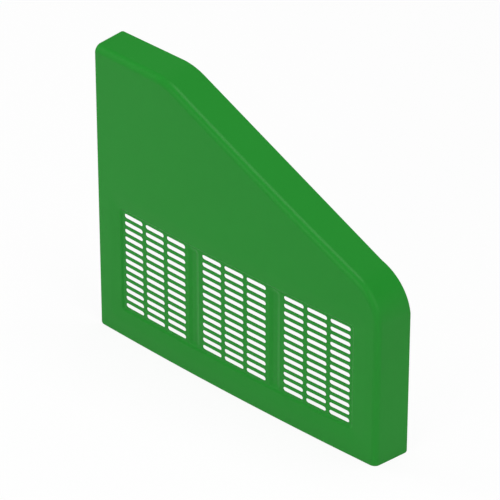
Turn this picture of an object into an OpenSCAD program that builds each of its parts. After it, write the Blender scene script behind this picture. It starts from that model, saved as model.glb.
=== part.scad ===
// Side panel of a garden tractor's engine hood: one pressed steel sheet.
// The face is bowed, a flange runs round its top, slope and rear, and a
// shallow recess in its lower part holds the slots that let the air through.
// Millimetres. The outside of the face looks towards -Y, and the flange
// reaches back along +Y to the plane in which the panel meets the hood's frame.

/* [Face] */
// Length of the face, from the open front edge to the rear edge
face_length = 600; // [520:1:800]
// Height of the face at the open front edge
face_height = 549; // [480:1:700]
// Height of the face at the rear edge
rear_height = 327; // [300:1:440]
// Length of the level top, before the slope starts
top_length = 157; // [100:1:260]
// How far the middle of the face bows out in front of its two ends
bow_height = 6.3; // [2:0.1:20]
// Thickness of the sheet
sheet_t = 1.5; // [0.8:0.1:3]
// Radius of the lower front corner of the face
foot_corner_r = 5; // [1:0.5:20]

/* [Flange] */
// Depth from the ends of the face to the plane of the flange's rim
rim_depth = 65.5; // [35:0.5:120]
// Outside radius of the bend between the face and the flange
bend_r = 12.3; // [5:0.1:25]
// Lean of the top and slope flange towards the inside, in degrees
top_lean = 1.3; // [0:0.1:8]
// Flare of the rear flange towards the outside, in degrees
rear_flare = 10.9; // [0:0.1:20]
// Radius of the outline where the level top turns into the slope
crest_r = 105; // [40:1:200]
// Radius of the outline where the slope turns into the rear edge
shoulder_r = 84; // [40:1:140]
// Radius of the flange's two free corners
flange_corner_r = 4; // [1:0.5:15]

/* [Recess] */
// Distance from each end of the face to the recess
recess_end_gap = 24.5; // [15:0.5:60]
// Distance from the lower edge of the face to the recess
recess_foot_gap = 27.5; // [15:0.5:60]
// Height of the recess
recess_height = 253.5; // [150:0.5:260]
// Radius of the outer corners of the recess
recess_corner_r = 22; // [10:1:40]
// Width of the shallow bevel round the recess
bevel_w = 24; // [10:0.5:35]
// Depth that the bevel reaches
bevel_drop = 1.2; // [0.6:0.1:4]
// Corner radius at the foot of the bevel
bevel_corner_r = 8; // [4:0.5:20]
// Width of the steep step inside the bevel
step_w = 3.5; // [2:0.1:8]
// Depth of the steep step below the bevel
step_drop = 2.3; // [1:0.1:6]
// Corner radius of the recess floor
floor_corner_r = 5; // [2:0.5:12]

/* [Slots] */
// Height of a slot, which is also the diameter of its round ends
slot_height = 8.2; // [4:0.1:12]
// Bar of metal between one row of slots and the next
row_bar = 6.8; // [4:0.1:15]
// Bar of metal between neighbouring slots in a row
column_bar = 6.9; // [4:0.1:15]
// Number of slot columns in each group
group_columns = 3; // [1:1:5]
// Number of groups side by side
groups = 3; // [1:1:4]
// Width of the land between two groups
group_land = 37.9; // [30:0.1:60]
// Distance from the outer slots to the edge of the recess floor, at least
slot_edge = 4.7; // [3:0.1:15]

/* [Grooves] */
// Width of the groove pressed into each land
groove_w = 22.5; // [16:0.5:28]
// Width of the groove's sloping wall
groove_wall_w = 6.5; // [3:0.1:7]
// Depth of the groove below the recess floor
groove_drop = 2; // [0.5:0.1:5]
// Distance from the groove's ends to the edge of the recess floor
groove_end_gap = 1.5; // [1:0.5:10]
// Corner radius of the groove's mouth
groove_corner_r = 8; // [3:0.5:8]
// Corner radius of the groove's floor
groove_floor_r = 3; // [1:0.5:4]

/* [Hidden] */

// How far a cutting body reaches past the sheet
over = 2;
// How far a pressing starts in front of the surface that it is pressed into
lead = 0.5;
// Longest strip of the bowed face, and steps round each curve
strip = 26;
bend_steps = 8;
crest_steps = 7;
shoulder_steps = 12;
corner_steps = 5;

// Bowed face: an arc through both ends of the face
bow_r = (pow(face_length / 2, 2) + pow(bow_height, 2)) / (2 * bow_height);

function bow_reach(x) = sqrt(pow(bow_r, 2) - pow(x - face_length / 2, 2));
function bow_y(x) = bow_r - bow_height - bow_reach(x);
function bow_slope(x) = (x - face_length / 2) / bow_reach(x);

// Outline of the face: level top, crest, slope, shoulder and rear edge
slope_angle = atan((face_height - rear_height) / (face_length - top_length));
slope_side = 90 - slope_angle;
crest_c = [top_length - crest_r * tan(slope_angle / 2), face_height - crest_r];
shoulder_c = [face_length - shoulder_r, rear_height - shoulder_r * tan(slope_side / 2)];

function arc_station(c, r, a) = [c.x + r * cos(a), c.y + r * sin(a), a];
function between(a, b, n) = [for (i = [1 : n - 1]) a + (b - a) * i / n];
function arc_stations(c, r, a, b, n) = [for (i = [0 : n]) arc_station(c, r, a + (b - a) * i / n)];

slope_start = arc_station(crest_c, crest_r, slope_side);
slope_end = arc_station(shoulder_c, shoulder_r, slope_side);

// Each station is a point of the outline in X and Z, with the direction that
// the flange lies in, seen from the face
function stations(past) =
    let (start = [-past, face_height, 90])
    let (crest = [crest_c.x, face_height, 90])
    concat(
        [start],
        between(start, crest, ceil(crest_c.x / strip)),
        arc_stations(crest_c, crest_r, 90, slope_side, crest_steps),
        between(slope_start, slope_end, ceil((slope_end.x - slope_start.x) / strip)),
        arc_stations(shoulder_c, shoulder_r, slope_side, 0, shoulder_steps),
        [[face_length, -past, 0]]
    );

// The flange leans in above the slope, and turns to the flare round the shoulder
function lean(a) = min(top_lean, (top_lean + rear_flare) * a / slope_side - rear_flare);

// Section through the bend and the flange at one station, from the face to the
// rim. It lies inside the outer skin by inset, and ends at the depth reach.
function section(s, inset, reach) =
    let (out = [cos(s[2]), sin(s[2])])
    let (turn = 90 + lean(s[2]))
    let (tilt = atan(bow_slope(s.x) * out.x))
    let (set_back = bend_r * tan((turn - tilt) / 2) * cos(tilt))
    let (start_x = s.x - out.x * set_back)
    let (centre_q = -set_back - bend_r * sin(tilt))
    let (centre_y = bow_y(start_x) + bend_r * cos(tilt))
    let (r = bend_r - inset)
    let (arc = [for (i = [0 : bend_steps])
        let (a = tilt + (turn - tilt) * i / bend_steps)
        [centre_q + r * sin(a), centre_y - r * cos(a)]])
    let (last = arc[bend_steps])
    let (rim = [last[0] - (reach - last[1]) * tan(turn - 90), reach])
    [for (p = concat(arc, [rim])) [s.x + out.x * p[0], p[1], s.y + out.y * p[0]]];

// Everything behind the outer skin, or behind the inner skin with an inset.
// The body reaches past the sheet's free edges by past.
module envelope(inset, past) {
    line = stations(past);
    back = rim_depth + past;
    sections = [for (s = line) section(s, inset, back)];
    n = len(line);
    m = bend_steps + 2;
    feet = [for (i = [0 : n - 3]) [sections[i][0].x, sections[i][0].y, -past]];
    corner = [-past, back, -past];
    points = concat([for (s = sections) each s], feet, [corner]);

    foot = function (i) i < n - 2 ? n * m + i : (n - 1) * m;
    corner_id = n * m + n - 2;
    strips = [for (i = [0 : n - 3]) [foot(i), i * m, (i + 1) * m, foot(i + 1)]];
    skin = [for (i = [0 : n - 2], j = [0 : m - 2])
        let (a = i * m + j)
        each [[a, a + 1, a + m], [a + 1, a + m + 1, a + m]]];
    rim = [for (i = [0 : n - 2]) [corner_id, (i + 1) * m + m - 1, i * m + m - 1]];
    front_end = concat([foot(0), corner_id], [for (j = [m - 1 : -1 : 0]) j]);
    lower_end = concat(
        [for (i = [0 : n - 2]) foot(i)],
        [for (j = [1 : m - 1]) (n - 1) * m + j],
        [corner_id]);
    polyhedron(points, concat(strips, skin, rim, [front_end, lower_end]));
}

// Half of a rounded rectangle's outline, from its left end to its right end,
// as points of X and height above the middle
function half_outline(length, height, r, straight) =
    let (corner = [for (i = [0 : corner_steps])
        let (a = 90 * i / corner_steps)
        [r * (1 - cos(a)) - length / 2, height / 2 - r * (1 - sin(a))]])
    concat(
        corner,
        between(corner[corner_steps], [length / 2 - r, height / 2], straight),
        [for (i = [corner_steps : -1 : 0]) [-corner[i].x, corner[i].y]]
    );

// Body that presses a rounded rectangle into the bowed face. Each level is
// [distance inside the mouth, depth below the face, corner radius].
module pressing(centre, length, height, levels) {
    straight = max(1, ceil(length / strip));
    rings = [for (l = levels)
        let (half = half_outline(length - 2 * l[0], height - 2 * l[0], l[2], straight))
        let (low = [for (p = half) [p.x, -p.y]])
        let (high = [for (i = [len(half) - 1 : -1 : 0]) half[i]])
        [for (p = concat(low, high))
            let (x = centre.x + p.x)
            [x, bow_y(x) + l[1], centre.y + p.y]]];
    n = len(rings[0]);
    last = (len(levels) - 1) * n;
    mouth = [for (i = [0 : n / 2 - 2]) [i, n - 1 - i, n - 2 - i, i + 1]];
    base = [for (f = mouth) [for (i = [3 : -1 : 0]) last + f[i]]];
    walls = [for (k = [0 : len(levels) - 2], i = [0 : n - 1])
        let (a = k * n + i)
        let (b = k * n + (i + 1) % n)
        each [[a, b, a + n], [b, b + n, a + n]]];
    polyhedron([for (r = rings) each r], concat(mouth, walls, base));
}

// Direction of a vector
function unit(v) = v / norm(v);

// Corner p of a pressing's profile, moved by the sheet's thickness to the far
// side of the sheet. The points before and after it give its two walls.
function far_side(before, p, after, t) =
    let (d1 = unit(p - before))
    let (d2 = unit(after - p))
    let (n1 = [-d1.y, d1.x])
    let (n2 = [-d2.y, d2.x])
    p + (n1 + n2) * t / (1 + n1 * n2);

// Levels of a pressing from its profile, which starts at its mouth. The first
// level lies in front of the surface, on the line of the first wall.
function levels(profile, radii, t) =
    let (n = len(profile))
    let (flat = [1, 0])
    let (moved = [for (i = [0 : n - 1]) far_side(
        i == 0 ? profile[0] - flat : profile[i - 1],
        profile[i],
        i == n - 1 ? profile[i] + flat : profile[i + 1],
        t)])
    let (wall = unit(moved[1] - moved[0]))
    let (first = moved[0] - wall * lead / wall.y)
    concat(
        [[first.x, first.y, radii[0] + profile[0].x - first.x]],
        [for (i = [1 : n - 1]) [moved[i].x, moved[i].y, radii[i] + profile[i].x - moved[i].x]]
    );

// Recess
recess_length = face_length - 2 * recess_end_gap;
recess_c = [face_length / 2, recess_foot_gap + recess_height / 2];
recess_drop = bevel_drop + step_drop;
floor_inset = bevel_w + step_w;
floor_length = recess_length - 2 * floor_inset;
floor_height = recess_height - 2 * floor_inset;

module recess(t) {
    profile = [[0, 0], [bevel_w, bevel_drop], [floor_inset, recess_drop]];
    radii = [recess_corner_r, bevel_corner_r, floor_corner_r];
    pressing(recess_c, recess_length, recess_height, levels(profile, radii, t));
}

// Slots in groups, with a groove in the land between two groups
columns = groups * group_columns;
bars = (columns - groups) * column_bar + (groups - 1) * group_land;
slot_length = (floor_length - 2 * slot_edge - bars) / columns;
column_pitch = slot_length + column_bar;
group_pitch = group_columns * column_pitch - column_bar + group_land;
row_pitch = slot_height + row_bar;
rows = floor((floor_height - 2 * slot_edge + row_bar) / row_pitch);

function centred(i, count, pitch) = (i - (count - 1) / 2) * pitch;

module grooves(t) {
    profile = [[0, recess_drop], [groove_wall_w, recess_drop + groove_drop]];
    radii = [groove_corner_r, groove_floor_r];
    height = floor_height - 2 * groove_end_gap;
    if (groups > 1)
        for (i = [0 : groups - 2])
            pressing(
                recess_c + [centred(i, groups - 1, group_pitch), 0],
                groove_w, height, levels(profile, radii, t));
}

module slot() {
    flat = slot_length - slot_height;
    square([flat, slot_height], center = true);
    for (side = [-1, 1])
        translate([side * flat / 2, 0])
            circle(d = slot_height, $fn = 32);
}

module slots() {
    behind = recess_drop + sheet_t + over;
    for (g = [0 : groups - 1], c = [0 : group_columns - 1], r = [0 : rows - 1])
        translate([
            recess_c.x + centred(g, groups, group_pitch) + centred(c, group_columns, column_pitch),
            behind,
            recess_c.y + centred(r, rows, row_pitch)])
            rotate([90, 0, 0])
                linear_extrude(height = behind + bow_height + over)
                    slot();
}

// Removes a free corner of the sheet outside the radius r, seen along Z. The
// corner points to -X and -Y, and h is how far the cut reaches along Z.
module corner_cut(r, h) {
    difference() {
        translate([-over, -over, -h])
            cube([r + over, r + over, 2 * h]);
        translate([r, r, -h - over])
            cylinder(r = r, h = 2 * (h + over), $fn = 64);
    }
}

module corner_cuts() {
    reach = bow_height + bend_r + over;
    rotate([90, 0, 0])
        corner_cut(foot_corner_r, reach);
    translate([0, rim_depth, face_height])
        mirror([0, 1, 0])
            corner_cut(flange_corner_r, reach);
    translate([face_length, rim_depth, 0])
        rotate([0, 90, 0])
            mirror([1, 0, 0])
                mirror([0, 1, 0])
                    corner_cut(flange_corner_r, reach + rim_depth * tan(rear_flare));
}

// The model's origin is under the middle of its box
rear_reach = face_length + (rim_depth - bow_y(face_length)) * tan(rear_flare);
box_middle = [rear_reach / 2, (rim_depth - bow_height) / 2, 0];

module hood_side_panel() {
    color("forestgreen")
        translate(-box_middle)
            difference() {
                envelope(0, 0);
                recess(0);
                grooves(0);
                difference() {
                    envelope(sheet_t, over);
                    recess(sheet_t);
                    grooves(sheet_t);
                }
                slots();
                corner_cuts();
            }
}

hood_side_panel();
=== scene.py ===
"""Side panel of a garden tractor's engine hood, pressed from steel sheet and painted green.

The sheet is modelled finely enough for its bends, pressings and punched edges to look round.
Metres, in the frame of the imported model: the outside of the face looks towards -Y, the flange
reaches back along +Y, and the panel stands on its lower edge. Sizes along the panel are measured
from its front edge, depths from the line through the two ends of the face.
"""

import logging
import math
from collections.abc import Mapping, Sequence
from dataclasses import dataclass, field
from enum import Enum
from typing import Any

import bpy
import numpy as np
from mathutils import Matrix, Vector
from mathutils.geometry import delaunay_2d_cdt


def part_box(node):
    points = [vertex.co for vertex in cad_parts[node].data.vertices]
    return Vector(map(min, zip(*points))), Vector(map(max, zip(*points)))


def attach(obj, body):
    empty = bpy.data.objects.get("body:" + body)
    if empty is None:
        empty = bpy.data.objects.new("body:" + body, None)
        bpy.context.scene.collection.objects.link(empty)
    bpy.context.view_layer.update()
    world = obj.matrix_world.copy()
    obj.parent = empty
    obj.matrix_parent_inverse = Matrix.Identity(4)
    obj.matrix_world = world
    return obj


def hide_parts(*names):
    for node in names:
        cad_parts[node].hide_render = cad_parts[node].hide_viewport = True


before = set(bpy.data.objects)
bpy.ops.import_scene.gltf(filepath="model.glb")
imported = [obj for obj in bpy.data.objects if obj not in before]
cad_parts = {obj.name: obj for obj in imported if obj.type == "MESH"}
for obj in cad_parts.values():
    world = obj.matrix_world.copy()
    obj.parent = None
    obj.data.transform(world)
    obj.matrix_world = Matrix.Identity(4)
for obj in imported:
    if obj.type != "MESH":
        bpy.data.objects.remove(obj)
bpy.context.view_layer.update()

PANEL_NODE = "hood_side_panel"
# Step over which a slope is measured, and distance at which two points count as one
TINY = 1e-5
SNAP = 1e-7

LOG = logging.getLogger("hood_panel")

Colour = tuple[float, float, float]
Array = np.ndarray


def steps(start: float, end: float, longest: float) -> Array:
    """Cuts a stretch into equal pieces.

    Args:
        start: Where the stretch starts.
        end: Where it ends.
        longest: The longest piece.

    Returns:
        The places between the pieces, without the two ends.
    """
    pieces = max(1, math.ceil(abs(end - start) / longest))
    return np.linspace(start, end, pieces + 1)[1:-1]


def unit(vectors: Array) -> Array:
    """Returns the vectors, one a row, at length one."""
    return vectors / np.linalg.norm(vectors, axis=-1, keepdims=True)


def inside_loop(points: Array, loop: Array) -> Array:
    """Finds which points lie inside a closed loop of straight stretches.

    Args:
        points: The points, one a row.
        loop: The loop's corners, in order.

    Returns:
        True for each point that lies inside.
    """
    after = np.roll(loop, -1, axis=0)
    crossed = (loop[:, 1] > points[:, None, 1]) != (after[:, 1] > points[:, None, 1])
    with np.errstate(divide="ignore", invalid="ignore"):
        share = (points[:, None, 1] - loop[:, 1]) / (after[:, 1] - loop[:, 1])
    right = points[:, None, 0] < loop[:, 0] + share * (after[:, 0] - loop[:, 0])
    return (crossed & right).sum(axis=1) % 2 == 1


@dataclass(frozen=True)
class Bow:
    """The face's arc, seen from above, through both of its ends."""

    length: float = 0.600
    height: float = 0.0063

    @property
    def radius(self) -> float:
        """Radius of the arc."""
        return (self.length**2 / 4 + self.height**2) / (2 * self.height)

    def reach(self, x: Array) -> Array:
        """Distance of the face from the arc's centre line, along Y, at x."""
        return np.sqrt(self.radius**2 - (x - self.length / 2) ** 2)

    def depth(self, x: Array) -> Array:
        """Depth of the face behind the line through its ends, at x."""
        return self.radius - self.height - self.reach(x)

    def slope(self, x: Array) -> Array:
        """Rise of that depth along X, at x."""
        return (x - self.length / 2) / self.reach(x)


@dataclass(frozen=True)
class Outline:
    """The face's outline above its free edges: level top, crest, slope, shoulder and rear edge."""

    length: float = 0.600
    height: float = 0.549
    rear_height: float = 0.327
    top_length: float = 0.157
    crest_r: float = 0.105
    shoulder_r: float = 0.084
    crest_steps: int = 20
    shoulder_steps: int = 40
    edge_steps: int = 8
    longest: float = 0.012

    @property
    def slope_side(self) -> float:
        """Direction in which the slope's flange lies, from +X towards +Z."""
        fall = (self.height - self.rear_height) / (self.length - self.top_length)
        return math.pi / 2 - math.atan(fall)

    def arc(self, centre: Array, radius: float, start: float, end: float, count: int) -> Array:
        """Stations along a round stretch of the outline.

        Args:
            centre: The arc's centre in X and Z.
            radius: The arc's radius.
            start: Direction of the first station.
            end: Direction of the last one.
            count: Number of steps.

        Returns:
            One row for each station: X, Z and the direction that the flange lies in.
        """
        a = np.linspace(start, end, count + 1)
        return np.column_stack([centre[0] + radius * np.cos(a), centre[1] + radius * np.sin(a), a])

    def stations(self, edge: float, corner: float) -> Array:
        """Stations round the whole outline, from the front edge to the lower edge.

        Args:
            edge: Distance of the first and the last station from the free edges.
            corner: Length of the stretch at each free edge that is cut finely.

        Returns:
            One row for each station: X, Z and the direction that the flange lies in.
        """
        side = self.slope_side
        turn = math.pi / 2 - side
        crest_c = np.array([self.top_length - self.crest_r * math.tan(turn / 2), self.height - self.crest_r])
        fall = self.shoulder_r * math.tan(side / 2)
        shoulder_c = np.array([self.length - self.shoulder_r, self.rear_height - fall])
        crest = self.arc(crest_c, self.crest_r, math.pi / 2, side, self.crest_steps)
        shoulder = self.arc(shoulder_c, self.shoulder_r, side, 0.0, self.shoulder_steps)

        near = np.linspace(edge, corner, self.edge_steps)
        top_x = np.concatenate([near, steps(corner, crest_c[0], self.longest)])
        top = np.column_stack([top_x, np.full_like(top_x, self.height), np.full_like(top_x, math.pi / 2)])
        pieces = math.ceil(np.linalg.norm(shoulder[0, :2] - crest[-1, :2]) / self.longest)
        slope = np.linspace(crest[-1], shoulder[0], pieces + 1)[1:-1]
        rear_z = np.concatenate([steps(shoulder_c[1], corner, self.longest), near[::-1]])
        rear = np.column_stack([np.full_like(rear_z, self.length), rear_z, np.zeros_like(rear_z)])
        return np.concatenate([top, crest, slope, shoulder, rear])


@dataclass(frozen=True)
class Flange:
    """The bend along the outline and the flange behind it, which ends in one plane."""

    depth: float = 0.0655
    bend_r: float = 0.0123
    top_lean: float = math.radians(1.3)
    rear_flare: float = math.radians(10.9)
    corner_r: float = 0.004
    bend_steps: int = 20
    flat_steps: int = 4
    corner_steps: int = 6

    def lean(self, direction: float, slope_side: float) -> float:
        """Angle by which the flange leans inwards, and flares outwards where it is negative."""
        turned = (self.top_lean + self.rear_flare) * direction / slope_side - self.rear_flare
        return min(self.top_lean, turned)

    def rows(self, start: float, edge: float) -> Array:
        """Depths of the rows of points along the flat of the flange.

        Args:
            start: Depth at which the bend ends.
            edge: Distance of the last row from the rim.

        Returns:
            The depths, with the last ones close enough for the round corners.
        """
        r = self.corner_r - edge
        turn = np.linspace(0, math.pi / 2, self.corner_steps + 1)
        centre = self.depth - self.corner_r
        flat = np.linspace(start, centre, self.flat_steps + 1)[1:-1]
        return np.concatenate([flat, centre + r * np.sin(turn)])

    def section(
        self, station: Array, inset: float, edge: float, bow: Bow, side: float
    ) -> tuple[Array, Array]:
        """Section through the bend and the flange.

        Args:
            station: X, Z and direction of the station.
            inset: Distance of the section inside the outer skin.
            edge: Distance of the last point from the rim.
            bow: The face's arc.
            side: Direction in which the slope's flange lies.

        Returns:
            The points from the face to the rim, and the outer skin's normal at each.
        """
        x, z, direction = station
        out = np.array([math.cos(direction), math.sin(direction)])
        turn = math.pi / 2 + self.lean(direction, side)
        tilt = math.atan(bow.slope(x) * out[0])
        set_back = self.bend_r * math.tan((turn - tilt) / 2) * math.cos(tilt)
        centre_q = -set_back - self.bend_r * math.sin(tilt)
        centre_y = bow.depth(x - out[0] * set_back) + self.bend_r * math.cos(tilt)

        a = np.linspace(tilt, turn, self.bend_steps + 1)
        r = self.bend_r - inset
        arc_q, arc_y = centre_q + r * np.sin(a), centre_y - r * np.cos(a)
        outer_end = centre_y - self.bend_r * math.cos(turn)
        flat_y = self.rows(outer_end, edge)
        flat_q = arc_q[-1] - (flat_y - arc_y[-1]) * math.tan(turn - math.pi / 2)
        q, y = np.concatenate([arc_q, flat_q]), np.concatenate([arc_y, flat_y])
        points = np.column_stack([x + out[0] * q, y, z + out[1] * q])

        a = np.concatenate([a, np.full_like(flat_y, turn)])
        along = np.array([out[1], bow.slope(x) * out[1], -out[0]])
        across = np.column_stack([out[0] * np.cos(a), np.sin(a), out[1] * np.cos(a)])
        return points, unit(np.cross(along, across))


@dataclass(frozen=True)
class Corner:
    """One corner of a pressing's profile.

    Attributes:
        inset: Distance inside the pressing's mouth.
        drop: Depth at the corner.
        radius: Corner radius of the pressing's outline there.
        soft: How far the bend reaches to each side of the corner.
        soft_top: The same along the upper side, where the bend is wider.
    """

    inset: float
    drop: float
    radius: float
    soft: float
    soft_top: float


@dataclass(frozen=True)
class Pressing:
    """A rounded rectangle pressed into the face, as rings of points from its mouth to its floor.

    Attributes:
        centre: Middle of the rectangle in X and Z.
        length: Length of its mouth.
        height: Height of its mouth.
        profile: Corners of the profile, from the mouth inwards.
        base: Depth of the surface that it is pressed into.
        bend_rings: Number of rings in each bend.
        least_gap: Least distance between two rings, as a share of the first bend's softness.
    """

    centre: tuple[float, float]
    length: float
    height: float
    profile: tuple[Corner, ...]
    base: float = 0.0
    corner_steps: int = 10
    bend_rings: int = 9
    flat_steps: int = 3
    least_gap: float = 0.08
    longest: float = 0.012

    def insets(self) -> Array:
        """Insets of the rings: close together in each bend, with two rings on each flat."""
        near = [
            np.linspace(c.inset - s, c.inset + s, self.bend_rings)
            for c in self.profile
            for s in {c.soft, c.soft_top}
        ]
        flats = [
            np.linspace(a.inset, b.inset, self.flat_steps + 1)[1:-1]
            for a, b in zip(self.profile, self.profile[1:])
        ]
        every = np.unique(np.round(np.concatenate(near + flats), 7))
        kept = [every[0]]
        for t in every[1:]:
            if t - kept[-1] > self.least_gap * self.profile[0].soft:
                kept.append(t)
        return np.array(kept)

    def drop(self, t: Array, top: Array) -> tuple[Array, Array]:
        """Depth of the pressing.

        Args:
            t: Distance inside the mouth.
            top: From 0 to 1, how far the point belongs to the upper side.

        Returns:
            The depth below the surface around it, and its rise with t.
        """
        depth, rise = np.zeros_like(t), np.zeros_like(t)
        before = 0.0
        for here, after in zip(self.profile, (*self.profile[1:], None)):
            slope = (after.drop - here.drop) / (after.inset - here.inset) if after else 0.0
            soft = here.soft + (here.soft_top - here.soft) * top
            u = np.clip((t - here.inset + soft) / (2 * soft), 0, 1)
            past = np.maximum(t - here.inset - soft, 0)
            depth += (slope - before) * (soft * u**2 + past)
            rise += (slope - before) * u
            before = slope
        return depth, rise

    def ring(self, t: float) -> tuple[Array, Array, Array]:
        """One ring of the pressing.

        Args:
            t: The ring's distance inside the mouth.

        Returns:
            Its points in X and Z, counterclockwise, the outward direction at each, and how far
            each belongs to the upper side.
        """
        inset, radii = [c.inset for c in self.profile], [c.radius for c in self.profile]
        past = min(t - inset[0], 0) + max(t - inset[-1], 0)
        r = np.interp(t, inset, radii) - past
        half = np.array([self.length / 2 - t - r, self.height / 2 - t - r])
        mouth_half = np.array([self.length, self.height]) / 2 - radii[0]
        cuts = [math.ceil(2 * mouth_half[k] / self.longest) for k in (1, 0)]
        points, normals = [], []
        for quarter, (sx, sz) in enumerate([(1, -1), (1, 1), (-1, 1), (-1, -1)]):
            a = math.pi / 2 * (quarter - 1 + np.linspace(0, 1, self.corner_steps + 1))
            out = np.column_stack([np.cos(a), np.sin(a)])
            corner = half * (sx, sz) + r * out
            (nx, nz) = [(1, 1), (-1, 1), (-1, -1), (1, -1)][quarter]
            start = half * (nx, nz) + r * out[-1]
            between = np.linspace(corner[-1], start, cuts[quarter % 2] + 1)[1:-1]
            points += [corner, between]
            normals += [out, np.tile(out[-1], (len(between), 1))]
        out = np.concatenate(normals)
        return np.concatenate(points) + self.centre, out, np.clip(out[:, 1], 0, 1) ** 2

    def rings(self) -> list[Array]:
        """Every ring, as rows of X, Z, depth and the rise of the depth along X and Z."""
        inset, radii = [c.inset for c in self.profile], [c.radius for c in self.profile]
        made = []
        for t in self.insets():
            points, out, top = self.ring(t)
            shrink = (np.interp(t + TINY, inset, radii) - np.interp(t, inset, radii)) / TINY
            if not inset[0] < t < inset[-1]:
                shrink = -1.0
            speed = (1 + shrink) * np.abs(out).sum(axis=1) - shrink
            depth, rise = self.drop(np.full(len(out), t), top)
            made.append(np.column_stack([points, self.base + depth, -out * (rise / speed)[:, None]]))
        return made


@dataclass(frozen=True)
class Slots:
    """The field of air slots: groups of columns, with a land between two groups."""

    height: float = 0.0082
    row_bar: float = 0.0068
    column_bar: float = 0.0069
    group_columns: int = 3
    groups: int = 3
    group_land: float = 0.0379
    edge_gap: float = 0.0047
    end_steps: int = 12

    def length(self, field_length: float) -> float:
        """Length of one slot in a recess floor of that length."""
        columns = self.groups * self.group_columns
        bars = (columns - self.groups) * self.column_bar + (self.groups - 1) * self.group_land
        return (field_length - 2 * self.edge_gap - bars) / columns

    def group_pitch(self, field_length: float) -> float:
        """Distance from one group to the next."""
        group = self.group_columns * (self.length(field_length) + self.column_bar)
        return group - self.column_bar + self.group_land

    def centres(self, field_length: float, field_height: float) -> Array:
        """Middles of the slots in X and Z, from the middle of the field."""
        pitch = self.height + self.row_bar
        rows = math.floor((field_height - 2 * self.edge_gap + self.row_bar) / pitch)
        column_pitch = self.length(field_length) + self.column_bar
        return np.array([
            [
                (g - (self.groups - 1) / 2) * self.group_pitch(field_length)
                + (c - (self.group_columns - 1) / 2) * column_pitch,
                (r - (rows - 1) / 2) * pitch,
            ]
            for g in range(self.groups)
            for c in range(self.group_columns)
            for r in range(rows)
        ])

    def outline(self, field_length: float, grow: float) -> Array:
        """One slot's outline round its middle, larger by grow all round, counterclockwise."""
        r = self.height / 2 + grow
        flat = (self.length(field_length) - self.height) / 2
        ends = []
        for sign, start in ((1, -math.pi / 2), (-1, math.pi / 2)):
            a = start + np.linspace(0, math.pi, self.end_steps + 1)
            ends.append(np.column_stack([sign * flat + r * np.cos(a), r * np.sin(a)]))
        return np.concatenate(ends)


class Wire:
    """A number that a material's nodes work out, for use in Python expressions."""

    def __init__(self, graph: "Graph", socket: bpy.types.NodeSocket) -> None:
        """Wraps a socket of a graph's node."""
        self.graph = graph
        self.socket = socket

    def __add__(self, other: "Wire | float") -> "Wire":
        """This number plus the other."""
        return self.graph.maths("ADD", self, other)

    def __radd__(self, other: float) -> "Wire":
        """The other plus this number."""
        return self.graph.maths("ADD", other, self)

    def __sub__(self, other: "Wire | float") -> "Wire":
        """This number less the other."""
        return self.graph.maths("SUBTRACT", self, other)

    def __rsub__(self, other: float) -> "Wire":
        """The other less this number."""
        return self.graph.maths("SUBTRACT", other, self)

    def __mul__(self, other: "Wire | float") -> "Wire":
        """This number times the other."""
        return self.graph.maths("MULTIPLY", self, other)

    def __rmul__(self, other: float) -> "Wire":
        """The other times this number."""
        return self.graph.maths("MULTIPLY", other, self)


class Graph:
    """The node tree of a material or of the world."""

    def __init__(self, tree: bpy.types.NodeTree) -> None:
        """Takes a tree and empties it."""
        self.tree = tree
        tree.nodes.clear()

    def add(self, kind: str, settings: Mapping[str, Any], sockets: Mapping[str | int, Any]) -> bpy.types.Node:
        """Adds one node.

        Args:
            kind: The node's type.
            settings: Its properties, which are set first.
            sockets: A value, a Wire or a socket for each input, by name or number.

        Returns:
            The node.
        """
        node = self.tree.nodes.new(kind)
        for name, value in settings.items():
            setattr(node, name, value)
        for name, value in sockets.items():
            if isinstance(value, Wire):
                value = value.socket
            if isinstance(value, bpy.types.NodeSocket):
                self.tree.links.new(value, node.inputs[name])
            else:
                node.inputs[name].default_value = value
        return node

    def maths(self, operation: str, *values: "Wire | float") -> Wire:
        """Adds a Math node and returns its result."""
        node = self.add("ShaderNodeMath", {"operation": operation}, dict(enumerate(values)))
        return Wire(self, node.outputs[0])

    def noise(self, where: bpy.types.NodeSocket, scale: float, detail: float) -> Wire:
        """Adds a noise texture over the places given and returns its factor."""
        node = self.add("ShaderNodeTexNoise", {}, {"Vector": where, "Scale": scale, "Detail": detail})
        return Wire(self, node.outputs["Fac"])

    def mix_colours(self, factor: Wire, first: Colour, second: Colour) -> bpy.types.NodeSocket:
        """Adds a Mix node for two colours and returns its result."""
        sockets = {0: factor, 6: (*first, 1), 7: (*second, 1)}
        return self.add("ShaderNodeMix", {"data_type": "RGBA"}, sockets).outputs[2]


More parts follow.
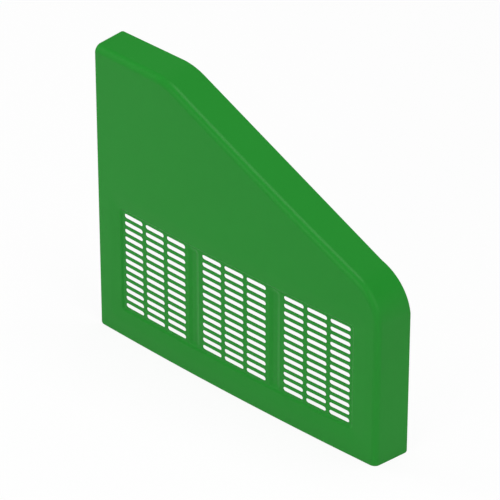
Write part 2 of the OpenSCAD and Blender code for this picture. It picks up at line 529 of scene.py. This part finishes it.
@dataclass(frozen=True)
class Enamel:
    """Sprayed and baked enamel on steel.

    Attributes:
        name: The material's name.
        deep: Colour where the coat is thick.
        pale: Colour where it is thin.
        roughness: Roughness of the coat, on the average.
        specular: Strength of the gloss, 0.5 for plain plastic.
        peel: Depth of the orange peel that spraying leaves.
        cloud_scale: Scale of the slow changes in the coat.
        cloud_detail: Their detail.
        peel_scale: Scale of the orange peel.
        peel_detail: Its detail.
        roughness_spread: How far each of the two changes the roughness.
    """

    name: str
    deep: Colour
    pale: Colour
    roughness: float
    specular: float
    peel: float
    cloud_scale: float = 7.0
    cloud_detail: float = 3.0
    peel_scale: float = 420.0
    peel_detail: float = 2.0
    roughness_spread: float = 0.06

    def material(self) -> bpy.types.Material:
        """Makes the material."""
        made = bpy.data.materials.new(self.name)
        made.use_nodes = True
        graph = Graph(made.node_tree)
        where = graph.add("ShaderNodeTexCoord", {}, {}).outputs["Object"]
        cloud = graph.noise(where, self.cloud_scale, self.cloud_detail)
        grain = graph.noise(where, self.peel_scale, self.peel_detail)
        spread = self.roughness_spread
        roughness = self.roughness + (cloud - 0.5) * spread + (grain - 0.5) * spread
        bump = graph.add("ShaderNodeBump", {}, {"Strength": 1.0, "Distance": self.peel, "Height": grain})
        shader = graph.add("ShaderNodeBsdfPrincipled", {}, {
            "Base Color": graph.mix_colours(cloud, self.deep, self.pale),
            "Roughness": roughness,
            "Specular IOR Level": self.specular,
            "Normal": bump.outputs["Normal"],
        })
        graph.add("ShaderNodeOutputMaterial", {}, {"Surface": shader.outputs[0]})
        return made


class Finish(Enum):
    """The panel's finishes: the outside in full gloss, the inside under a thinner coat."""

    OUTSIDE = Enamel(
        name="green_enamel",
        deep=(0.0140, 0.226, 0.0215),
        pale=(0.0155, 0.239, 0.0240),
        roughness=0.36,
        specular=0.10,
        peel=0.00002,
    )
    INSIDE = Enamel(
        name="green_enamel_inside",
        deep=(0.0130, 0.210, 0.0195),
        pale=(0.0165, 0.234, 0.0240),
        roughness=0.50,
        specular=0.10,
        peel=0.00003,
    )


@dataclass
class HoodSidePanel:
    """The whole panel: a bowed face, a flange on three sides, and a recess with air slots.

    Attributes:
        sheet: Thickness of the sheet.
        edge_r: Radius to which the paint rounds the sheet's cut edges.
    """

    bow: Bow = field(default_factory=Bow)
    outline: Outline = field(default_factory=Outline)
    flange: Flange = field(default_factory=Flange)
    slots: Slots = field(default_factory=Slots)
    sheet: float = 0.0015
    edge_r: float = 0.0003
    foot_corner_r: float = 0.005
    foot_steps: int = 8
    face_pitch: float = 0.018
    face_margin: float = 0.006
    recess_end_gap: float = 0.0245
    recess_foot_gap: float = 0.0275
    recess_height: float = 0.2535
    recess_profile: tuple[Corner, ...] = (
        Corner(0.0, 0.0, 0.022, 0.004, 0.0085),
        Corner(0.024, 0.0012, 0.008, 0.0014, 0.0014),
        Corner(0.0275, 0.0035, 0.005, 0.0007, 0.0007),
    )
    groove_w: float = 0.0225
    groove_end_gap: float = 0.0015
    groove_profile: tuple[Corner, ...] = (
        Corner(0.0, 0.0, 0.008, 0.0007, 0.0007),
        Corner(0.0065, 0.002, 0.003, 0.0018, 0.0018),
    )

    def recess(self) -> Pressing:
        """The recess in the lower part of the face."""
        length = self.bow.length - 2 * self.recess_end_gap
        centre = (self.bow.length / 2, self.recess_foot_gap + self.recess_height / 2)
        return Pressing(centre, length, self.recess_height, self.recess_profile)

    def floor_size(self) -> tuple[float, float]:
        """Length and height of the recess floor."""
        inset = self.recess_profile[-1].inset
        return self.recess().length - 2 * inset, self.recess_height - 2 * inset

    def grooves(self) -> list[Pressing]:
        """The groove in each land between two groups of slots."""
        recess = self.recess()
        length, height = self.floor_size()
        pitch = self.slots.group_pitch(length)
        lands = self.slots.groups - 1
        return [
            Pressing(
                (recess.centre[0] + (i - (lands - 1) / 2) * pitch, recess.centre[1]),
                self.groove_w,
                height - 2 * self.groove_end_gap,
                self.groove_profile,
                base=self.recess_profile[-1].drop,
            )
            for i in range(lands)
        ]

    def sections(self, inset: float) -> tuple[Array, Array]:
        """Points and normals of the bend and flange, station by station, with round free corners."""
        corner = 2 * self.flange.corner_r
        stations = self.outline.stations(self.edge_r, corner)
        side = self.outline.slope_side
        made = [self.flange.section(s, inset, self.edge_r, self.bow, side) for s in stations]
        points = np.array([p for p, _ in made])
        normals = np.array([n for _, n in made])
        r = self.flange.corner_r
        into = np.clip(points[0, :, 1] - (self.flange.depth - r), 0, None)
        start = r - np.sqrt(np.clip((r - self.edge_r) ** 2 - into**2, 0, None))
        for axis in (0, 2):
            near = points[:, :, axis] < corner
            near[len(near) // 2:] &= axis == 2
            near[:len(near) // 2] &= axis == 0
            moved = start + (points[:, :, axis] - self.edge_r) * (corner - start) / (corner - self.edge_r)
            points[:, :, axis] = np.where(near, moved, points[:, :, axis])
        return points, normals

    def face_points(self, bend: Array) -> tuple[Array, list[tuple[int, int]], list[int], Array]:
        """Points of the face in X and Z, with the depths of its pressings.

        Args:
            bend: X and Z of the points at which the bend starts, from front to rear.

        Returns:
            Rows of X, Z, depth and the rise of the depth along X and Z, the pairs of points that
            an edge joins, the loop of points round the face, and the number of each point's slot,
            or -1 where it is on none.
        """
        loops: list[Array] = []
        e, r = self.edge_r, self.foot_corner_r
        a = math.pi + np.linspace(0, math.pi / 2, self.foot_steps + 1)
        foot = np.column_stack([r + (r - e) * np.cos(a), r + (r - e) * np.sin(a)])
        lower_x = steps(r, bend[-1, 0], self.face_pitch)
        front_z = steps(bend[0, 1], r, self.face_pitch)
        lower = np.column_stack([lower_x, np.full_like(lower_x, e)])
        front = np.column_stack([np.full_like(front_z, e), front_z])
        border = np.concatenate([bend[::-1], front, foot, lower])
        loops.append(np.pad(border, ((0, 0), (0, 3))))

        recess = self.recess()
        length, height = self.floor_size()
        drop = self.recess_profile[-1].drop
        loops += recess.rings()
        for groove in self.grooves():
            loops += groove.rings()
        shape = self.slots.outline(length, self.edge_r)
        flat = np.tile((drop, 0.0, 0.0), (len(shape), 1))
        plain = len(loops)
        loops += [np.hstack([shape + m, flat]) for m in self.slots.centres(length, height) + recess.centre]

        edges, first = [], 0
        for loop in loops:
            n = len(loop)
            edges += [(first + i, first + (i + 1) % n) for i in range(n)]
            first += n
        filling = self.plain_points(border, recess)
        rows = np.concatenate([*loops, filling])
        slot = np.full(len(rows), -1)
        slot[sum(map(len, loops[:plain])):first] = np.repeat(np.arange(len(loops) - plain), len(shape))
        return rows, edges, list(range(len(border))), slot

    def plain_points(self, border: Array, recess: Pressing) -> Array:
        """Points that fill the plain part of the face, away from its border and the recess."""
        gx = np.arange(self.face_pitch, self.bow.length, self.face_pitch)
        gz = np.arange(self.face_pitch, self.outline.height, self.face_pitch)
        grid = np.stack(np.meshgrid(gx, gz), axis=-1).reshape(-1, 2)
        gap = np.abs(grid - recess.centre) - np.array([recess.length, recess.height]) / 2
        clear = gap.max(axis=1) > recess.profile[0].soft_top + self.face_margin
        away = np.linalg.norm(grid[:, None] - border[None], axis=-1).min(axis=1) > self.face_margin
        return np.pad(grid[clear & away & inside_loop(grid, border)], ((0, 0), (0, 3)))

    def face_triangles(
        self, rows: Array, edges: list[tuple[int, int]], border: list[int], slot: Array
    ) -> Array:
        """Triangles of the face, without those across a slot and those outside the border.

        Args:
            rows: The face's points.
            edges: Pairs of points that an edge joins.
            border: The loop of points round the face.
            slot: The number of each point's slot, or -1.

        Returns:
            Three point numbers a row, counterclockwise in X and Z.
        """
        flat = [Vector(p) for p in rows[:, :2]]
        _, _, faces, origin, _, _ = delaunay_2d_cdt(flat, edges, [border], 1, SNAP, True)
        own = np.array([o[0] for o in origin])
        triangles = own[np.array(faces)]
        a, b, c = slot[triangles].T
        inside = inside_loop(rows[triangles, :2].mean(axis=1), rows[border, :2])
        return triangles[inside & ((a < 0) | (a != b) | (b != c))]

    def skin(self) -> tuple[Array, Array, Array, Array]:
        """The outer skin with the inner one behind it.

        Returns:
            The outer points, the outer normals, the inner points, and the faces as rows of four
            point numbers, with -1 last in a triangle. Faces turn counterclockwise from outside.
        """
        outer, normals = self.sections(0.0)
        inner, _ = self.sections(self.sheet)
        n, m = outer.shape[:2]
        number = np.arange(n * m).reshape(n, m)
        quads = np.stack([number[:-1, :-1], number[1:, :-1], number[1:, 1:], number[:-1, 1:]], axis=-1)

        rows, edges, border, slot = self.face_points(outer[:, 0][:, [0, 2]])
        triangles = self.face_triangles(rows, edges, border, slot)
        own = rows[n:]
        x = own[:, 0]
        face = np.column_stack([x, self.bow.depth(x) + own[:, 2], own[:, 1]])
        rise = np.column_stack([self.bow.slope(x) + own[:, 3], np.full(len(x), -1.0), own[:, 4]])
        face_normals = unit(rise)
        face_inner = face - self.sheet * face_normals

        shared = np.concatenate([number[::-1, 0], n * m + np.arange(len(own))])
        flat = np.pad(shared[triangles], ((0, 0), (0, 1)), constant_values=-1)
        points = np.concatenate([outer.reshape(-1, 3), face])
        behind = np.concatenate([inner.reshape(-1, 3), face_inner])
        all_normals = np.concatenate([normals.reshape(-1, 3), face_normals])
        faces = np.concatenate([quads.reshape(-1, 4), flat])
        return points, all_normals, behind, faces

    def build(self) -> bpy.types.Object:
        """Makes the panel's mesh: both skins, and a round edge wherever the sheet ends."""
        outer, normals, inner, faces = self.skin()
        used, renumbered = np.unique(faces, return_inverse=True)
        faces = renumbered.reshape(faces.shape) - (used[0] == -1)
        used = used[used >= 0]
        outer, normals, inner = outer[used], normals[used], inner[used]
        first, second = free_edges(faces)

        along = unit(outer[second] - outer[first])
        out = np.zeros_like(outer)
        np.add.at(out, first, np.cross(along, normals[first]))
        np.add.at(out, second, np.cross(along, normals[second]))
        rim = np.unique(first)
        out = unit(out[rim])
        place = np.full(len(outer), -1)
        place[rim] = np.arange(len(rim))

        e = self.edge_r
        outer_edge = outer[rim] + e * (out - normals[rim])
        inner_edge = inner[rim] + e * (out + normals[rim])
        points = np.concatenate([outer, inner, outer_edge, inner_edge])
        point_normals = np.concatenate([normals, -normals, out, out])

        n, k = len(outer), len(rim)
        a, b = place[first], place[second]
        bands = [
            np.column_stack([second, first, 2 * n + a, 2 * n + b]),
            np.column_stack([2 * n + b, 2 * n + a, 2 * n + k + a, 2 * n + k + b]),
            np.column_stack([2 * n + k + b, 2 * n + k + a, n + first, n + second]),
        ]
        back = [[n + i for i in reversed(f) if i >= 0] for f in faces.tolist()]
        front = [[i for i in f if i >= 0] for f in faces.tolist()]
        low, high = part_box(PANEL_NODE)
        origin = np.array([low[0], high[1] - self.flange.depth, low[2]])
        points = np.clip(points + origin, np.array(low), np.array(high))

        mesh = bpy.data.meshes.new("hood_panel")
        sides = [q for band in bands for q in band.tolist()]
        mesh.from_pydata(points.tolist(), [], front + sides + back)
        mesh.polygons.foreach_set("use_smooth", [True] * len(mesh.polygons))
        inside = [0] * (len(front) + len(sides)) + [1] * len(back)
        mesh.polygons.foreach_set("material_index", inside)
        mesh.update()
        mesh.normals_split_custom_set_from_vertices(point_normals.tolist())
        panel = bpy.data.objects.new("hood_panel", mesh)
        bpy.context.collection.objects.link(panel)
        return panel

    def dress(self, panel: bpy.types.Object) -> None:
        """Gives the panel its finishes, outside first."""
        for finish in Finish:
            panel.data.materials.append(finish.value.material())

    def make(self) -> bpy.types.Object:
        """Builds and dresses the panel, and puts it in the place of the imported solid."""
        panel = self.build()
        self.dress(panel)
        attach(panel, "root")
        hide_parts(PANEL_NODE)
        return panel


def free_edges(faces: Array) -> tuple[Array, Array]:
    """Finds where a skin ends.

    Args:
        faces: Rows of four point numbers, with -1 last in a triangle.

    Returns:
        The first and the second point of each edge that only one face has, in that face's order.
    """
    triangle = faces[:, 3] < 0
    quads = faces[~triangle]
    threes = faces[triangle][:, :3]
    pairs = [np.column_stack([quads[:, i], quads[:, (i + 1) % 4]]) for i in range(4)]
    pairs += [np.column_stack([threes[:, i], threes[:, (i + 1) % 3]]) for i in range(3)]
    edges = np.concatenate(pairs)
    key = np.sort(edges, axis=1)
    _, which, count = np.unique(key, axis=0, return_inverse=True, return_counts=True)
    free = edges[count[which.ravel()] == 1]
    return free[:, 0], free[:, 1]


@dataclass(frozen=True)
class Lamp:
    """A soft square lamp that faces the panel.

    Attributes:
        name: The lamp's name.
        direction: Where it hangs, seen from the panel's middle.
        distance: How far away.
        size: Length of its side.
        power: Its power in watts.
    """

    name: str
    direction: tuple[float, float, float]
    distance: float
    size: float
    power: float

    def hang(self) -> bpy.types.Object:
        """Makes the lamp and turns it to the panel."""
        data = bpy.data.lights.new(self.name, "AREA")
        data.size = self.size
        data.energy = self.power
        lamp = bpy.data.objects.new(self.name, data)
        away = Vector(self.direction).normalized()
        lamp.location = panel_middle() + away * self.distance
        lamp.rotation_euler = away.to_track_quat("Z", "Y").to_euler()
        bpy.context.collection.objects.link(lamp)
        return lamp


@dataclass(frozen=True)
class Studio:
    """A pale floor that sweeps up into a round backdrop, soft lamps and plain surroundings.

    Attributes:
        radius: Distance of the backdrop.
        wall: Height of the backdrop.
        sweep: Radius of the sweep between floor and backdrop.
        pale: Colour of the floor and the backdrop.
        white_share: How far the camera sees them as plain white, apart from the panel's shadow.
        ambient: Strength of the light from all round.
        lamps: The lamps.
    """

    radius: float = 20.0
    wall: float = 4.0
    sweep: float = 3.0
    sides: int = 64
    sweep_steps: int = 8
    pale: Colour = (0.88, 0.88, 0.88)
    white_share: float = 0.9
    ambient: float = 0.17
    lamps: tuple[Lamp, ...] = (
        Lamp("overhead", (0.22, 0.05, 0.97), 3.0, 1.8, 58.0),
        Lamp("front", (0.05, -1.0, 0.35), 4.0, 2.5, 52.0),
        Lamp("right", (1.0, -0.25, 0.35), 4.0, 2.5, 44.0),
        Lamp("left", (-1.0, -0.25, 0.35), 4.0, 2.5, 83.0),
        Lamp("back", (-0.3, 1.0, 0.25), 4.0, 2.5, 30.0),
    )

    def profile(self) -> list[tuple[float, float]]:
        """Distance and height of the points from the floor's middle to the top of the backdrop."""
        turns = [math.pi / 2 * i / self.sweep_steps for i in range(self.sweep_steps + 1)]
        bend = [
            (self.radius - self.sweep * (1 - math.sin(a)), self.sweep * (1 - math.cos(a)))
            for a in turns
        ]
        return [*bend, (self.radius, self.wall)]

    def finish(self) -> bpy.types.Material:
        """Pale paint that looks white to the camera, to gloss and to glass, and takes shadows."""
        made = bpy.data.materials.new("pale_backdrop")
        made.use_nodes = True
        graph = Graph(made.node_tree)
        rays = graph.add("ShaderNodeLightPath", {}, {}).outputs
        camera, gloss, glass = (
            Wire(graph, rays[name]) for name in ("Is Camera Ray", "Is Glossy Ray", "Is Transmission Ray")
        )
        share = graph.maths("MINIMUM", camera + gloss + glass, 1.0) * self.white_share
        plain = graph.add("ShaderNodeBsdfDiffuse", {}, {"Color": (*self.pale, 1)})
        white = graph.add("ShaderNodeEmission", {}, {"Color": (1, 1, 1, 1), "Strength": 1.0})
        mixed = graph.add("ShaderNodeMixShader", {}, {0: share, 1: plain.outputs[0], 2: white.outputs[0]})
        graph.add("ShaderNodeOutputMaterial", {}, {"Surface": mixed.outputs[0]})
        return made

    def floor(self) -> bpy.types.Object:
        """Makes the floor and the backdrop, in one piece."""
        profile = self.profile()
        turns = [math.tau * i / self.sides for i in range(self.sides)]
        points = [(r * math.cos(a), r * math.sin(a), z) for r, z in profile for a in turns]
        n = self.sides
        faces: list[Sequence[int]] = [tuple(range(n))]
        faces += [
            (k * n + i, k * n + (i + 1) % n, (k + 1) * n + (i + 1) % n, (k + 1) * n + i)
            for k in range(len(profile) - 1)
            for i in range(n)
        ]
        mesh = bpy.data.meshes.new("floor")
        mesh.from_pydata(points, [], faces)
        mesh.materials.append(self.finish())
        floor = bpy.data.objects.new("floor", mesh)
        bpy.context.collection.objects.link(floor)
        return floor

    def surroundings(self) -> None:
        """Fills the world with plain soft light."""
        world = bpy.data.worlds.new("studio")
        world.use_nodes = True
        graph = Graph(world.node_tree)
        light = graph.add("ShaderNodeBackground", {}, {"Color": (1, 1, 1, 1), "Strength": self.ambient})
        graph.add("ShaderNodeOutputWorld", {}, {"Surface": light.outputs[0]})
        bpy.context.scene.world = world

    def make(self) -> None:
        """Sets up the floor, the surroundings and the lamps."""
        self.floor()
        self.surroundings()
        for lamp in self.lamps:
            lamp.hang()
        bpy.context.scene.view_settings.view_transform = "Standard"


def panel_middle() -> Vector:
    """Middle of the panel's box."""
    low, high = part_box(PANEL_NODE)
    return (Vector(low) + Vector(high)) / 2


@dataclass(frozen=True)
class PhotoCamera:
    """The camera, at the photograph's angle and distance.

    Attributes:
        azimuth: Angle round the panel, from straight in front of the face towards the rear flange.
        elevation: Angle above the horizon.
        distance: Distance from the point that it looks at.
        aim: That point, from the middle of the panel's box.
        lens: Focal length in millimetres, on a 36 mm wide sensor.
    """

    azimuth: float = math.radians(41.429)
    elevation: float = math.radians(34.684)
    distance: float = 6.5326
    aim: tuple[float, float, float] = (0.0005, 0.0, 0.00047)
    lens: float = 292.27

    def make(self) -> bpy.types.Object:
        """Makes the camera and gives it to the scene."""
        data = bpy.data.cameras.new("camera")
        data.lens = self.lens
        data.sensor_width = 36.0
        data.clip_end = 100.0
        camera = bpy.data.objects.new("camera", data)
        level = math.cos(self.elevation)
        side, ahead = math.sin(self.azimuth) * level, -math.cos(self.azimuth) * level
        back = Vector((side, ahead, math.sin(self.elevation)))
        camera.location = panel_middle() + Vector(self.aim) + back * self.distance
        camera.rotation_euler = back.to_track_quat("Z", "Y").to_euler()
        bpy.context.collection.objects.link(camera)
        bpy.context.scene.camera = camera
        return camera


def main() -> None:
    """Builds the studio, the camera and the panel."""
    logging.basicConfig(level=logging.INFO, format="%(name)s: %(message)s")
    Studio().make()
    PhotoCamera().make()
    panel = HoodSidePanel().make()
    LOG.info("%s: %d points, %d faces", panel.name, len(panel.data.vertices), len(panel.data.polygons))


if __name__ == "__main__":
    main()
